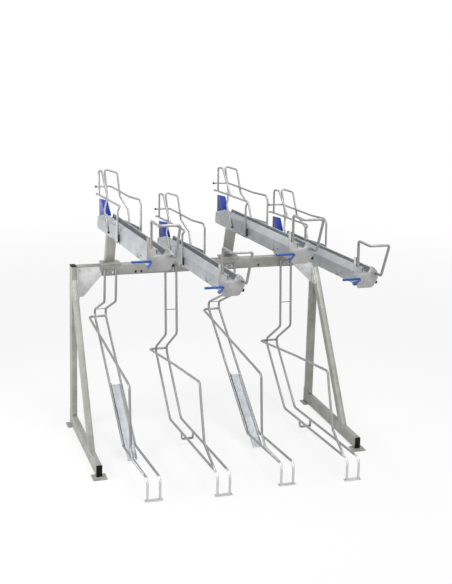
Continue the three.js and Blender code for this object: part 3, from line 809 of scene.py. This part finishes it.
def seen_ray(tree):
    """1 for camera, glossy and transmission rays."""
    path = tree.nodes.new("ShaderNodeLightPath")
    total = path.outputs["Is Camera Ray"]
    for name in ("Is Glossy Ray", "Is Transmission Ray"):
        most = node_of(tree, "ShaderNodeMath", operation="MAXIMUM")
        tree.links.new(total, most.inputs[0])
        tree.links.new(path.outputs[name], most.inputs[1])
        total = most.outputs[0]
    return total


def mix_shaders(tree, share, first, second, output):
    mix = tree.nodes.new("ShaderNodeMixShader")
    for source, target in zip((share, first, second), mix.inputs):
        tree.links.new(source, target)
    tree.links.new(mix.outputs[0], tree.nodes[output].inputs["Surface"])


def make_world(light):
    """A white background that lights the rack only a little."""
    world = bpy.data.worlds.new("studio")
    bpy.context.scene.world = world
    world.use_nodes = True
    tree = world.node_tree
    plain = tree.nodes["Background"]
    plain.inputs["Color"].default_value = WHITE
    plain.inputs["Strength"].default_value = light
    white = node_of(tree, "ShaderNodeBackground", Color=WHITE, Strength=1)
    mix_shaders(tree, seen_ray(tree), plain.outputs[0], white.outputs[0], "World Output")


def make_floor(half, shade, rough, near_share, near, far):
    """A pale floor that keeps a faint shadow near the rack and fades to white with distance."""
    mesh = bpy.data.meshes.new("floor")
    corners = rectangle((-half, -half), (half, half))
    mesh.from_pydata([(x, y, 0) for x, y in corners], [], [range(len(corners))])
    floor = add_object("floor", mesh)
    material, tree, shader, place = start_material("floor")
    shader.inputs["Base Color"].default_value = (*grey(shade), 1)
    shader.inputs["Roughness"].default_value = rough
    white = node_of(tree, "ShaderNodeEmission", Strength=1)
    distance = node_of(tree, "ShaderNodeVectorMath", operation="LENGTH")
    tree.links.new(place, distance.inputs[0])
    white_share = node_of(tree, "ShaderNodeMath", operation="MULTIPLY")
    fade = fade_of(tree, distance.outputs["Value"], near, far, near_share, 1)
    tree.links.new(seen_ray(tree), white_share.inputs[0])
    tree.links.new(fade, white_share.inputs[1])
    mix_shaders(tree, white_share.outputs[0], shader.outputs[0], white.outputs[0], "Material Output")
    mesh.materials.append(material)


bpy.context.scene.view_settings.view_transform = "Standard"
make_world(light=0.15)
make_floor(half=120, shade=0.86, rough=0.8, near_share=0.8, near=2.5, far=8)
make_lamp("front", spot=(1.5, -6.5, 3.5), aim=(0, 0, 0.9), size=3.5, power=132)
make_lamp("top", spot=(0.6, -0.6, 6.0), aim=(0, 0, 0.9), size=4.0, power=271)
make_lamp("left", spot=(-2.8, -0.1, 1.6), aim=(0.2, -0.1, 0.9), size=1.4, power=54)


# Frame
def build_base(side, low, high):
    middle = (low + high) / 2
    feet = ((front_foot, front_foot[1] / 2 - front_foot_reach), (rear_foot, base_length - rear_foot[1] / 2))
    base = Piece()
    base.tube((low, 0, foot_plate), (high, base_length - heel_plate, base_top), "y")
    for foot, y in feet:
        base.prism(rounded(around((middle, y), foot), foot_corner), "z", 0, foot_plate)
    heel = rectangle((low, foot_plate), (high, base_top + heel_rise))
    base.prism(rounded(heel, heel_corners), "y", base_length - heel_plate, heel_plate)
    base.make(side + "_base_tube", galvanised, side + "_base")


def build_post(side, low, high):
    post = Piece()
    post.tube((low, post_front, base_top + seat_gap), (high, post_rear - seat_gap, post_top), "z")
    post.make(side + "_post_tube", galvanised, side + "_post")


def strut_front(z):
    """The Y of a strut's front face at a height."""
    return strut_foot - strut_half + (z - base_top) * math.tan(strut_lean)


def build_strut(side, low):
    foot_z = base_top + seat_gap
    head_y = post_front - seat_gap
    head_run = post_front - strut_foot
    outline = [
        (strut_foot - strut_half, foot_z), (strut_foot + strut_half, foot_z),
        (head_y, base_top + (head_run - strut_half) / math.tan(strut_lean)),
        (head_y, base_top + (head_run + strut_half) / math.tan(strut_lean)),
    ]
    strut = Piece()
    strut.prism(outline, "x", low, tube_width, strut_edge)
    strut.make(side + "_strut_tube", galvanised, side + "_strut")


def build_caps(side, low, high):
    """Push-in caps on the base tube's front end and on the post's top."""
    caps = (("base", rectangle((low, foot_plate + seat_gap), (high, base_top)), "y", -cap_rim - seat_gap),
            ("post", rectangle((low, post_front), (high, post_rear)), "z", post_top + seat_gap))
    for end, mouth, plane, start in caps:
        cap = Piece()
        cap.prism(rounded(mouth, tube_corner), plane, start, cap_rim, cap_edge)
        cap.make(f"{side}_{end}_plug", black_plastic, f"{side}_{end}_cap")


def build_gusset(side, sign):
    """A plate with a flange that turns forward along the strut. Gives its bolts' spots and directions."""
    inward = -sign
    edge = sign * (half_frame - tube_width - seat_gap)
    front = beam_front - seat_gap - gusset_thick
    rear = front + gusset_thick
    top = post_top - gusset_top_drop
    bottom = post_top - gusset_drop[sign]
    reach = gusset_reach[sign]
    outline = [
        (edge, top), (edge + inward * (reach - bolt_inset), top),
        (edge + inward * reach, beam_bottom + bolt_inset / 2),
        (edge + inward * gusset_foot_reach[sign], bottom), (edge, bottom),
    ]
    flange_low = strut_front(bottom) + flange_inset
    flange_top = bottom + gusset_flange
    flange = [(flange_low, bottom), (rear, bottom), (rear, flange_top),
              (min(strut_front(flange_top) + flange_inset, front), flange_top)]
    gusset = Piece()
    gusset.prism(rounded(outline, gusset_corners), "y", front, gusset_thick)
    gusset.prism(rounded(flange, flange_corners), "x", min(edge, edge + inward * gusset_thick), gusset_thick)
    gusset.make(side + "_gusset_plate", gusset_zinc, side + "_gusset")
    flange_bolt = (edge + inward * gusset_thick, flange_low + 2 * bolt_inset, bottom + bolt_inset)
    corner_bolt = (edge + inward * bolt_inset, front, top - bolt_inset)
    return ((flange_bolt, (inward, 0, 0)), (corner_bolt, (0, -1, 0)))


def build_frame_bolts(side, low, high, gusset_bolts):
    bolts = Piece()
    for spot, direction in gusset_bolts:
        bolts.bolt(spot, direction, gusset_bolt)
    spot = (low, strut_foot - strut_bolt_setback, base_top - strut_bolt_drop)
    bolts.bolt(((low + high) / 2, post_front, base_top + post_bolt_rise), (0, -1, 0), post_bolt)
    bolts.bolt(spot, (-1, 0, 0), strut_bolt, False)
    bolts.make(side + "_frame_bolts", bolt_zinc)


def build_side(side, sign):
    low, high = sorted((sign * (half_frame - tube_width), sign * half_frame))
    build_base(side, low, high)
    build_post(side, low, high)
    build_strut(side, low)
    build_caps(side, low, high)
    build_frame_bolts(side, low, high, build_gusset(side, sign))


def build_beam():
    half = half_frame - tube_width - seat_gap
    beam = Piece()
    beam.tube((-half, beam_front, beam_bottom), (half, beam_rear - seat_gap, post_top), "x")
    beam.make("crossbeam_tube", galvanised, "crossbeam")
    slot_z = (beam_bottom + post_top) / 2 - beam_slot_drop
    # Black patches over the slots stand for the shade inside them: painted shade.
    slot_shades = Piece()
    for x in beam_slots:
        slot = rounded(around((x, slot_z), beam_slot), beam_slot_corner)
        slot_shades.prism(slot, "y", beam_front - slot_shade_proud, slot_shade_thick, slot_shade_edge)
    slot_shades.make("crossbeam_slot_shade", black_plastic)


build_side("left", -1)
build_side("right", 1)
build_beam()


# Lower stands
def bay_x(bay):
    return bays_middle + (bay - (len(bays) + 1) / 2) * bay_pitch


def is_high(bay):
    """Every other bay holds its wheels high, from the first one on."""
    return bay % 2 == 1


def stand_line(shares):
    """The rails' path in Y and Z, from the floor up to the crossbeam."""
    foot_y = shares["foot"] * beam_front
    top_y = top_plate_front - rail_bar / 2 + weld_sink
    bends = all_sized([shares["elbow"], shares["kink_rear"], shares["kink_front"]], beam_front, beam_bottom)
    return [(foot_y, stand_foot[2] / 2), (foot_y, knee_height), *bends, (top_y, beam_bottom - rail_bar),
            (top_y, beam_bottom + top_plate[1] + rail_bar / 2)]


def on_run(line, run, share):
    """The spot at a share of one run of a path."""
    return tuple(a + (b - a) * share for a, b in zip(line[run], line[run + 1]))


def add_strap(stand, left, right, line):
    """The U-shaped strap under a low stand's long run."""
    width, thick, lift = strap
    share = (strap_y - line[knee][0]) / (line[elbow][0] - line[knee][0])
    rail_z = on_run(line, knee, share)[1]
    low = lift + thick / 2
    stand.add(*strip([(left, rail_z), (left, low), (right, low), (right, rail_z)], thick, strap_bend,
                     lambda spot: strap_y - width / 2, lambda spot: strap_y + width / 2))


def build_stand(bay, shares, line):
    centre = bay_x(bay)
    left = centre - rail_spacing / 2
    right = centre + rail_spacing / 2
    guard_x = left - guard_offset
    guard_start = on_run(line, *shares["guard_start"])
    guard_end = on_run(line, *shares["guard_end"])
    guard = all_sized(shares["guard"], beam_front, beam_bottom) + [guard_end]
    stand = Piece()
    for x in (left, right):
        stand.rod([(x, *spot) for spot in line], rail_bar, rail_bend)
    guard = [(left, *guard_start), *((guard_x, *spot) for spot in guard), (right, *guard_end)]
    stand.rod(guard, rail_bar, guard_bend)
    for wire in shares["wires"]:
        spot = on_run(line, *wire)
        stand.rod([(left, *spot), (right, *spot)], wire_bar)
    if not is_high(bay):
        add_strap(stand, left, right, line)
    foot = around((centre, line[0][0]), stand_foot)
    stand.prism(rounded(foot, stand_foot_corner), "z", 0, stand_foot[2])
    plate = around((centre, beam_bottom + top_plate[1] / 2), top_plate)
    stand.prism(rounded(plate, top_plate_corner), "y", top_plate_front, top_plate[2])
    stand.make(f"stand_{bay}_bars", stand_bar, f"stand_{bay}")


def build_stand_bolts(bay, foot_y):
    centre = bay_x(bay)
    top_z = beam_bottom + top_plate[1] / 2
    bolts = Piece()
    for sign in (-1, 1):
        top_x = centre + sign * top_bolt_spacing / 2
        foot_x = centre + sign * (stand_foot[0] / 2 - foot_bolt_inset)
        bolts.bolt((top_x, top_plate_front, top_z), (0, -1, 0), top_bolt)
        bolts.bolt((foot_x, foot_y, stand_foot[2]), (0, 0, 1), foot_bolt)
    bolts.make(f"stand_{bay}_bolts", bolt_zinc)


def build_gutter(bay, line):
    """A sheet trough between a high stand's rails, on their rising run."""
    start = line[elbow]
    end = line[kink_rear]
    run = math.dist(start, end)
    rise = math.atan2(end[1] - start[1], end[0] - start[0])
    place = frame_place @ Matrix.Translation((bay_x(bay), start[0], start[1] - rail_bar / 2)) \
        @ Matrix.Rotation(rise, 4, "X")
    half = (rail_spacing - rail_bar - 2 * seat_gap) / 2 - gutter_sheet / 2
    floor = gutter_sheet / 2
    gutter = Piece(place)
    gutter.add(*strip([(-half, gutter_wall), (-half, floor), (half, floor), (half, gutter_wall)],
                      gutter_sheet, gutter_bend,
                      lambda spot: gutter_shares[0] * run, lambda spot: gutter_shares[1] * run))
    gutter.make(f"stand_{bay}_gutter_sheet", gutter_zinc, f"stand_{bay}_gutter")


for bay in bays:
    shares = high_shares if is_high(bay) else low_shares
    line = stand_line(shares)
    build_stand(bay, shares, line)
    build_stand_bolts(bay, line[0][0])
    if is_high(bay):
        build_gutter(bay, line)


# Wheel channels, each in its own tilted frame
def channel_top(bay):
    return post_top + low_channel_above_beam + (high_channel_step if is_high(bay) else 0)


def channel_place(bay):
    spot = (bay_x(bay) + channel_offset, beam_front + base_front, channel_top(bay))
    return Matrix.Translation(spot) @ Matrix.Rotation(-channel_slope, 4, "X")


def channel_spot(x, share):
    return (x, *sized(share, channel_front, channel_height))


def channel_front_of(spot):
    """Where the sheet ends at the front, with a cut corner low on the right."""
    if spot.x <= groove_half:
        return -channel_front
    under = max(0, -channel_height + corner_cut[0] - spot.z)
    return -channel_front + under / corner_cut[0] * corner_cut[1]


def channel_rear_of(spot):
    """Where the sheet ends at the rear: the flanks, the groove's tongue, or the slopes between."""
    across = abs(spot.x)
    if across > flank_half - sheet or spot.z < -channel_height / 2:
        return channel_rear
    if across < groove_half + sheet and spot.z < -flank_drop - sheet / 2:
        return tongue_rear
    return ridge_rear + (crease_rear - ridge_rear) * min(1, max(0, -spot.z / flank_drop))


def build_channel(bay, place, body):
    half = sheet / 2
    wall = groove_half - half
    flank = flank_half - half
    low = half - channel_height
    left = [
        (-flank + lip_width, low), (-flank, low), (-flank, -flank_drop - half), (-wall, -half),
        (-wall, -flank_drop), (-wall, -flank_drop - sheet), (-wall, -groove_depth - half),
    ]
    right = [(-x, z) for x, z in reversed(left)]
    right.insert(-2, (flank, -channel_height + corner_cut[0]))
    channel = Piece(place, body)
    channel.add(*strip(left + right, sheet, channel_bend, channel_front_of, channel_rear_of))
    plate = all_sized(side_plate_shares, side_plate_front + channel_rear, channel_height)
    plate = rounded([(y - side_plate_front, z) for y, z in plate], side_plate_corners)
    for start in (-flank_half - side_plate_thick, flank_half):
        channel.prism(plate, "x", start, side_plate_thick)
    channel.make(f"channel_{bay}_sheet", zinc_sheet, f"channel_{bay}")


def build_end_plate(bay, place, body):
    """A plate with an ear, and a notch for the tyres between two bends."""
    outline = all_sized(ear_shares, end_plate_half, channel_height)
    for shares in (notch_left_shares, notch_right_shares, shoulder_shares):
        bend = all_sized(shares, end_plate_half, channel_height)
        outline += [bend[0], *curve(*bend)]
    outline += all_sized(toe_shares, end_plate_half, channel_height)
    plate = Piece(place, body)
    plate.prism(outline, "y", -channel_front - seat_gap - end_plate_thick, end_plate_thick)
    plate.make(f"end_plate_{bay}", plate_zinc, f"pull_handle_{bay}")


def build_handle(bay, place, body):
    face = -channel_front - seat_gap - end_plate_thick
    bar_y = face - handle_bar / 2 + weld_sink
    front = -channel_front - handle_reach
    front_z = handle_rise - handle_dip
    foot_y, foot_z = handle_foot
    hoop = Piece(place, body)
    hoop.rod([
        (-handle_half, bar_y, handle_start), (-handle_half, bar_y, handle_rise),
        (-handle_half, front, front_z), (handle_half, front, front_z),
        (handle_half, -channel_front - foot_y, -foot_z), (handle_half, face + end_plate_thick / 2, -foot_z),
    ], handle_bar, handle_bend)
    hoop.make(f"handle_hoop_{bay}", bright_bar)


def build_holder(bay, place, body):
    def at(x, name):
        return [channel_spot(x, share) for share in holder_shares[name]]

    holder = Piece(place, body)
    holder.rod(at(-holder_half, "left_leg") + at(-left_rail_offset, "left_rail"), holder_bar, holder_bend)
    holder.rod(at(holder_half, "right_leg") + at(right_rail_offset, "right_rail")
               + at(-left_rail_offset, "right_rail")[-1:], holder_bar, holder_bend)
    holder.rod(at(-left_rail_offset, "side_hoop"), holder_bar, holder_bend)
    across = (holder_half, holder_half + holder_spread, neck_half, neck_half)
    legs = []
    for sign, top in zip((-1, 1), holder_shares["hoop_tops"]):
        shares = [*holder_shares["wheel_hoop"], top]
        legs.append([channel_spot(sign * x, share) for x, share in zip(across, shares)])
    holder.rod(legs[0] + legs[1][::-1], holder_bar, hoop_bend)
    neck = legs[0][2]
    holder.rod([neck, (-left_rail_offset, *neck[1:])], holder_bar)
    holder.make(f"wheel_holder_{bay}", bright_bar, f"front_wheel_holder_{bay}")


def build_fasteners(bay, place, body):
    """A black tip and nuts on the holder, a clamp on its leg whose near-black is painted shade, and bolts
    along the left edge.
    """
    tip = Vector(channel_spot(-left_rail_offset, holder_shares["right_rail"][1]))
    rail = Vector(channel_spot(-left_rail_offset, holder_shares["left_rail"][1]))
    foot = Vector(channel_spot(-holder_half, holder_shares["wheel_hoop"][0]))
    stubs = ((tip, (1, 0, 0), tip_length, tip_overlap, holder_bar + 2 * tip_wall),
             (foot, (0, 1, 0), foot_nut_reach, foot_nut_overlap, nut_width),
             (rail, (0, 0, 1), nut_height, nut_sink, nut_width))
    fasteners = Piece(place, body)
    for spot, axis, back, ahead, width in stubs:
        fasteners.rod([spot - Vector(axis) * back, spot + Vector(axis) * ahead], width)
    spots = [(-channel_half, clamp_bolt_share, clamp_bolt)]
    spots += [(-channel_half, share, edge_bolt) for share in edge_bolt_shares]
    spots += [(-flank_half, share, tab_bolt) for share in tab_bolt_shares]
    for x, share, size in spots:
        fasteners.bolt(channel_spot(x, share), (-1, 0, 0), size, False)
    # The clamp is near black like the bolts. That black is painted shade of the bracket, which stands in
    # shadow.
    top, low = (channel_spot(-channel_half, share) for share in clamp_shares)
    front = top[1] - holder_bar - clamp_thick
    fasteners.block((-channel_half - holder_bar, front, low[2]), (-channel_half, front + clamp_thick, top[2]))
    fasteners.make(f"holder_fasteners_{bay}", dark_bolt_and_clamp_shade)


def build_tab(bay, place, body):
    thick, length, height = tab
    x, y, z = channel_spot(-flank_half, tab_share)
    bracket = Piece(place, body)
    bracket.block((x - thick, y - length / 2, z - height / 2), (x + tab_sink, y + length / 2, z + height / 2))
    bracket.make(f"edge_tab_{bay}", bolt_zinc)


def build_stop(bay, place, body):
    """A wheel stop with a tongue in the groove, and its wing, which is folded back on the left."""
    rear = channel_rear - stop_setback
    tongue = groove_half - sheet - stop_clear
    foot = -groove_depth + seat_gap
    ledge = -flank_drop + stop_clear
    fold_x = stop_fold_share * stop_half
    top = all_sized(stop_top_shares, stop_half, stop_height)
    outline = [(fold_x, foot), (tongue, foot), (tongue, ledge), (stop_right_share * stop_half, ledge), *top,
               (fold_x, ledge)]
    stop = Piece(place, body)
    stop.prism(rounded(outline, stop_corners), "y", rear, stop_thick)
    stop.make(f"blue_stop_{bay}", stop_blue, f"wheel_stop_{bay}")
    low = Vector((fold_x, rear + stop_thick / 2, ledge))
    fold = Vector((top[1][0] - fold_x, 0, top[1][1] - ledge))
    turn = Matrix.Translation(low) @ Matrix.Rotation(stop_turn, 4, fold) @ Matrix.Translation(-low)
    outline = all_sized(stop_wing_shares, stop_half, stop_height)
    wing = Piece(place @ turn, body)
    wing.prism(rounded(outline, stop_wing_corners), "y", rear, stop_thick)
    # The wing's paler paint is a painted sheen on the stop's blue.
    wing.make(f"blue_stop_wing_{bay}", wing_sheen_blue)


def build_lever(bay, place, body):
    knee_y = lever_axle - lever_arm * lever_knee_share
    grip_y = lever_axle - lever_arm
    grip_z = lever_rise - lever_drop
    lever = Piece(place, body)
    lever.rod([
        (lever_tail, lever_axle, -lever_drop), (-lever_half, lever_axle, -lever_drop),
        (-lever_half, knee_y, -lever_drop), (-lever_half, grip_y, grip_z),
        (-lever_half - lever_grip, grip_y, grip_z),
    ], lever_bar, lever_bend)
    lever.make(f"blue_lever_{bay}", lever_blue, f"release_lever_{bay}")


def build_axle_cap(bay, place, body):
    start = flank_half + axle_cap_gap
    angles = [2 * math.pi * k / cap_sides for k in range(cap_sides)]
    turns = [Vector((0, math.cos(a), math.sin(a))) for a in angles]
    cap = Piece(place, body)
    cap.rings([[Vector((start + reach, lever_axle, -lever_drop)) + turn * radius for turn in turns]
               for reach, radius in axle_cap_profile])
    cap.make(f"axle_cap_{bay}", black_plastic, f"lever_cap_{bay}")


# Support posts
def build_support_post(bay):
    """A leaning post with a base plate on the beam and a clamp plate behind it."""
    width, depth = support_post
    base_width, base_thick = post_base
    centre = bay_x(bay) + channel_offset / 2
    base_z = post_top + seat_gap
    base_middle = base_z + base_thick / 2
    foot_y = beam_front + support_setback
    head_y = foot_y - (high_post_lean if is_high(bay) else low_post_lean)
    head_z = channel_top(bay) - (pivot_drop + support_depth / 2) / math.cos(channel_slope) \
        + (beam_front - head_y - depth / 2) * math.tan(channel_slope) - seat_gap
    slope = math.tan(channel_slope) * depth / 2
    outline = [(foot_y, base_middle), (foot_y + depth, base_middle), (head_y + depth, head_z - slope),
               (head_y, head_z + slope)]
    post = Piece()
    post.prism(outline, "x", centre - width / 2, width, support_edge)
    rear = max(foot_y + depth, beam_rear + gusset_thick)
    plate = rectangle((centre - base_width / 2, beam_front - gusset_thick), (centre + base_width / 2, rear))
    post.prism(rounded(plate, post_base_corner), "z", base_z, base_thick, post_base_edge)
    clamp_half = width / 2 + clamp_edge
    plate = rectangle((centre - clamp_half, post_top - clamp_drop), (centre + clamp_half, base_middle))
    post.prism(rounded(plate, clamp_corners), "y", beam_rear, gusset_thick)
    post.make(f"support_post_{bay}_steel", post_painted_light_zinc, f"support_post_{bay}")
    bolts = Piece()
    for sign in (-1, 1):
        bolt_x = centre + sign * (base_width / 2 - bolt_inset)
        bolts.bolt((bolt_x, beam_front + beam_depth / 2, base_z + base_thick), (0, 0, 1), support_bolt)
    bolts.make(f"support_post_{bay}_bolts", bolt_zinc)


# Rails, cradles and rollers, which keep their CAD shapes
def finish_inner_steel(bay):
    for node, material in (("support_rail", hidden_steel), ("cradle", hidden_steel),
                           ("roller", black_plastic)):
        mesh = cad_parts[f"{node}_{bay}"].data
        mesh.materials.clear()
        mesh.materials.append(material)


for bay in bays:
    build_support_post(bay)
    for build in (build_channel, build_end_plate, build_handle, build_holder, build_fasteners, build_tab,
                  build_stop):
        build(bay, channel_place(bay), f"channel_{bay}")
    for build in (build_lever, build_axle_cap):
        build(bay, channel_place(bay), f"lever_{bay}")
    finish_inner_steel(bay)
